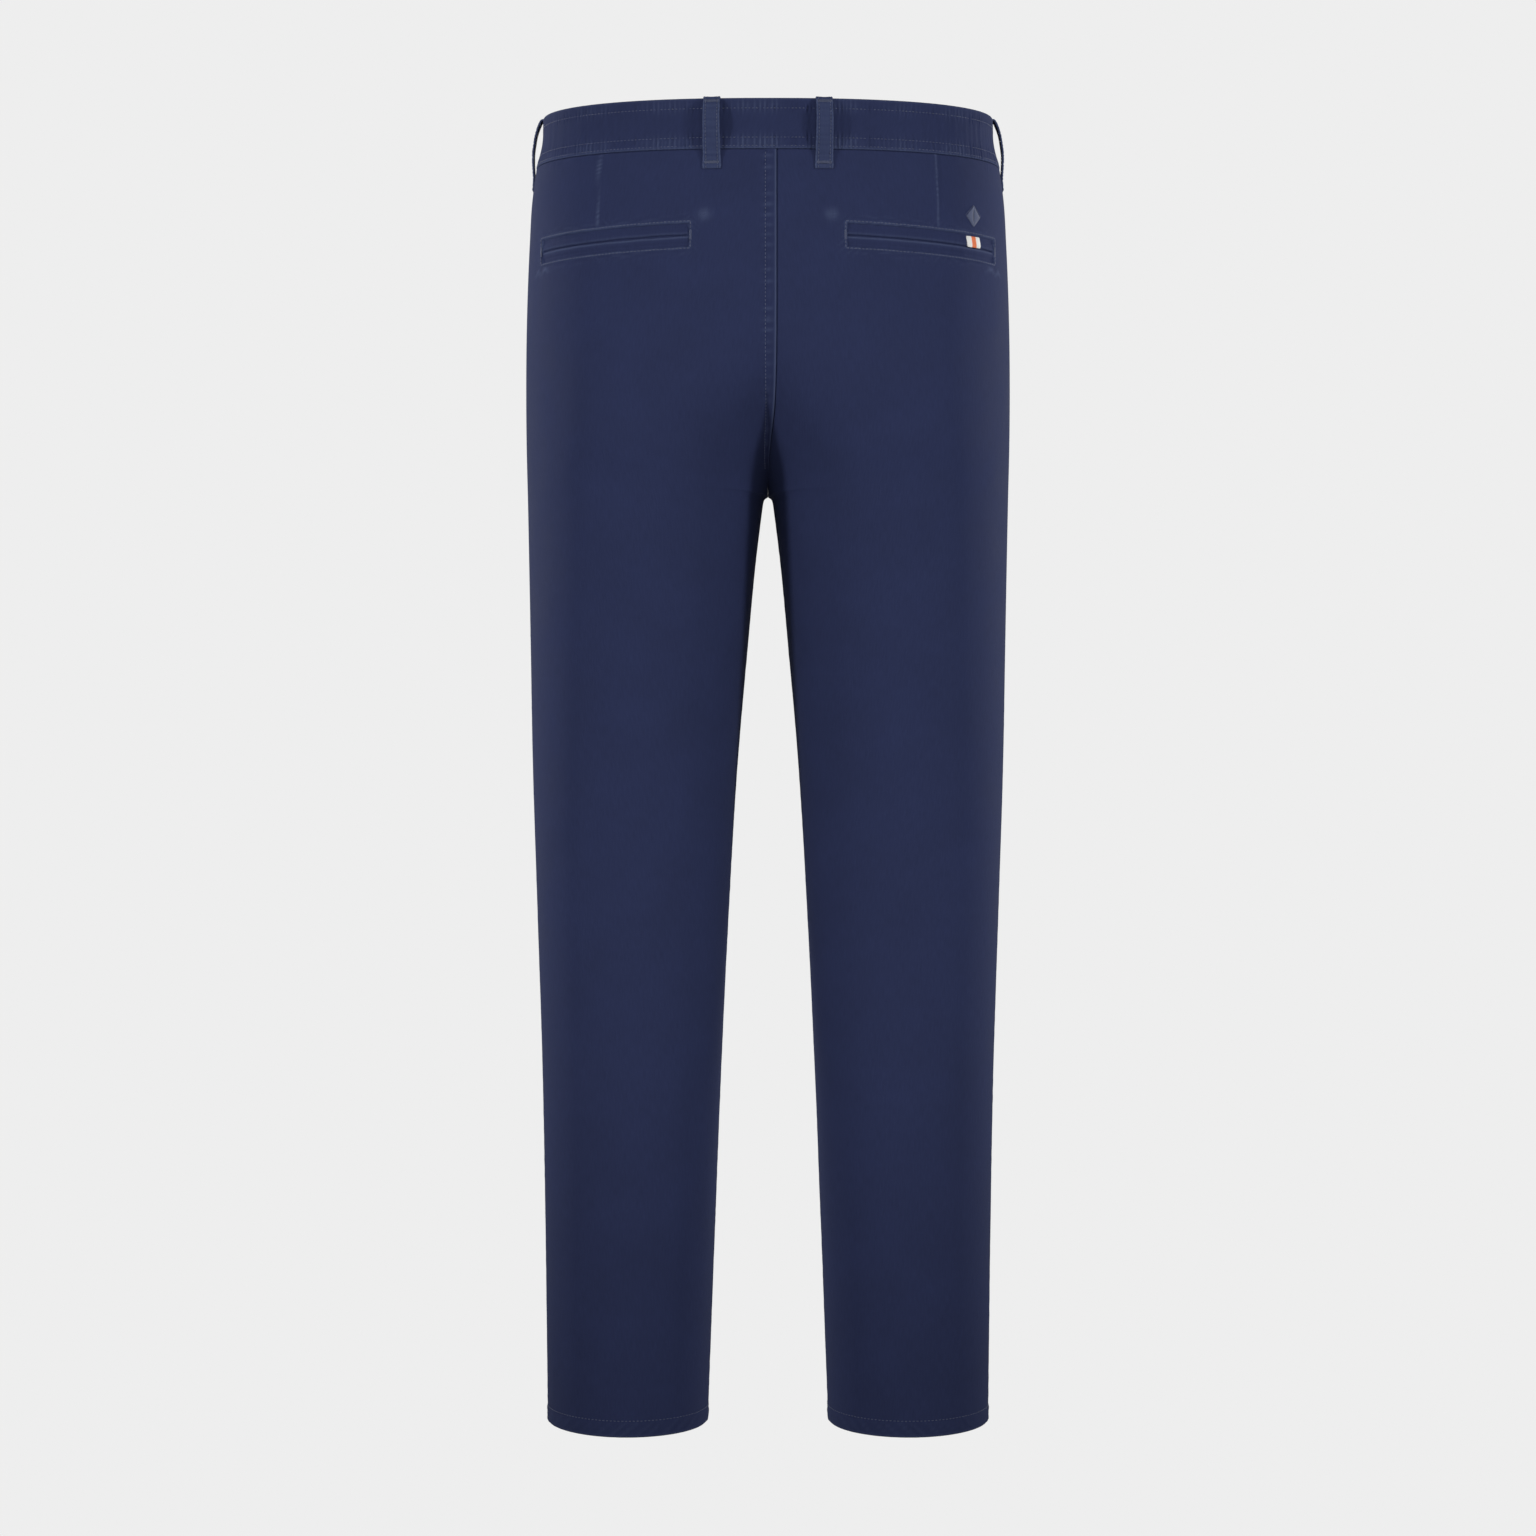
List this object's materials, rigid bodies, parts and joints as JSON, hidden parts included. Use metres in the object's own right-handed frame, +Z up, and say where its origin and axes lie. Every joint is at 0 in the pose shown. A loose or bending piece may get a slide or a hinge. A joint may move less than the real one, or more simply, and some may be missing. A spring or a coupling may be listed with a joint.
{
  "type": "chino trousers",
  "caption": "Straight-leg chino trousers filled out as worn, with belt loops, double-welt back pockets, slanted front pockets and a zip fly.",
  "frame": {"origin": "middle of the waistband ring, half way up the band, where the wearer's waist holds the trousers", "axes": "+Z up along the legs, -Y the way the front faces, +X towards the wearer's left"},
  "size_m": [0.386, 0.2344, 1.0441],
  "materials": {
    "twill": "navy cotton stretch twill, matt, piece dyed",
    "zip_tape": "woven navy zip tape",
    "zip_metal": "dull gunmetal slider",
    "button_plastic": "dark navy horn-look polyester button",
    "woven_tape": "white grosgrain tape with one orange stripe",
    "thread": "tonal blue satin-stitch thread"
  },
  "bodies": {
    "root": {"front_panel_left": "twill", "back_panel_left": "twill", "front_pocket_facing_left": "twill", "hem_turn_up_left": "twill", "back_pocket_upper_welt_left": "twill", "back_pocket_lower_welt_left": "twill", "front_panel_right": "twill", "back_panel_right": "twill", "front_pocket_facing_right": "twill", "hem_turn_up_right": "twill", "back_pocket_upper_welt_right": "twill", "back_pocket_lower_welt_right": "twill", "waistband": "twill", "belt_loop_back_left": "twill", "belt_loop_back_right": "twill", "belt_loop_front_left": "twill", "belt_loop_front_right": "twill", "belt_loop_side_left": "twill", "belt_loop_side_right": "twill", "waist_button": "button_plastic", "fly_facing": "twill", "zip_slider": "zip_metal", "zip_tape": "zip_tape", "fly_shield": "twill", "striped_tab": "woven_tape", "hip_motif": "thread"}
  },
  "joints": []
}
